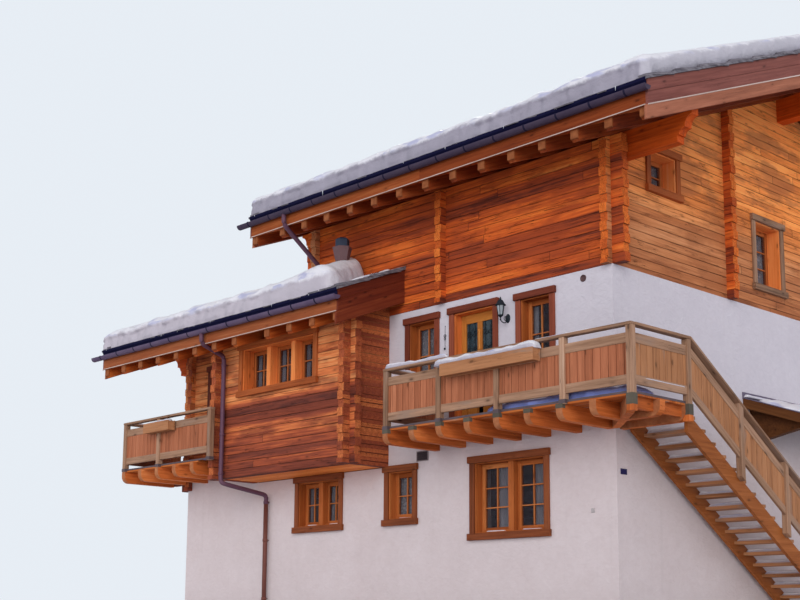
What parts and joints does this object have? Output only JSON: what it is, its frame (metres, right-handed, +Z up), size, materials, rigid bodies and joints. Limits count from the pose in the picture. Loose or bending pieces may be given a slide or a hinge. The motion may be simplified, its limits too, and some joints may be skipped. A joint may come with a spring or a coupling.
{
  "type": "alpine chalet",
  "caption": "Alpine chalet with white masonry below, interlocked log storeys, timber bay, balconies, outside stair and snowy saddle roofs.",
  "frame": {"origin": "middle of the masonry footprint at ground level", "axes": "+Z up, +X along the front towards the stair gable, +Y from the front into the house"},
  "size_m": [14.39, 13.617, 11.1213],
  "materials": {
    "render": "rough white lime render",
    "concrete": "plain concrete",
    "old_logs": "sun-darkened squared logs",
    "tan_logs": "tan squared logs",
    "warm_timber": "orange-brown sawn timber",
    "stained_boards": "red-brown stained boards",
    "grey_timber": "weathered grey-tan timber",
    "slate": "dark split slate",
    "snow": "settled snow",
    "gutter_metal": "weathered sheet metal",
    "pipe_metal": "brown painted metal",
    "window_wood": "red-brown oiled wood",
    "door_wood": "honey-coloured oiled wood",
    "pane": "clear window glass",
    "lantern_metal": "black painted metal"
  },
  "bodies": {
    "root": {"ground_slab": "concrete", "front_wall": "render", "rear_wall": "render", "right_gable_wall": "render", "left_wall": "render", "floors": "warm_timber", "front_logs": "old_logs", "rear_logs": "tan_logs", "right_gable_logs": "tan_logs", "left_gable_logs": "tan_logs", "partition_ends": "tan_logs", "bay_logs": "old_logs", "annex_front_logs": "old_logs", "annex_gable_logs": "tan_logs", "annex_rear_logs": "tan_logs", "bay_soffit": "warm_timber", "purlins": "warm_timber", "main_rafters": "warm_timber", "annex_rafters": "warm_timber", "main_roof": "warm_timber", "annex_roof": "warm_timber", "main_slates": "slate", "annex_slates": "slate", "main_snow": "snow", "annex_snow": "snow", "main_eave_boards": "stained_boards", "annex_eave_boards": "stained_boards", "gutters": "gutter_metal", "downpipes": "pipe_metal", "flue": "gutter_metal", "balcony_decks": "grey_timber", "balcony_brackets": "warm_timber", "front_railing": "grey_timber", "left_railing": "grey_timber", "flower_boxes": "grey_timber", "stair_stringers": "warm_timber", "stair_treads": "grey_timber", "stair_railing": "grey_timber", "front_windows": "window_wood", "bay_window": "window_wood", "gable_windows": "window_wood", "rear_windows": "window_wood", "left_windows": "window_wood", "glass": "pane", "doors": "door_wood", "lantern": "lantern_metal", "canopy": "stained_boards"}
  },
  "joints": []
}
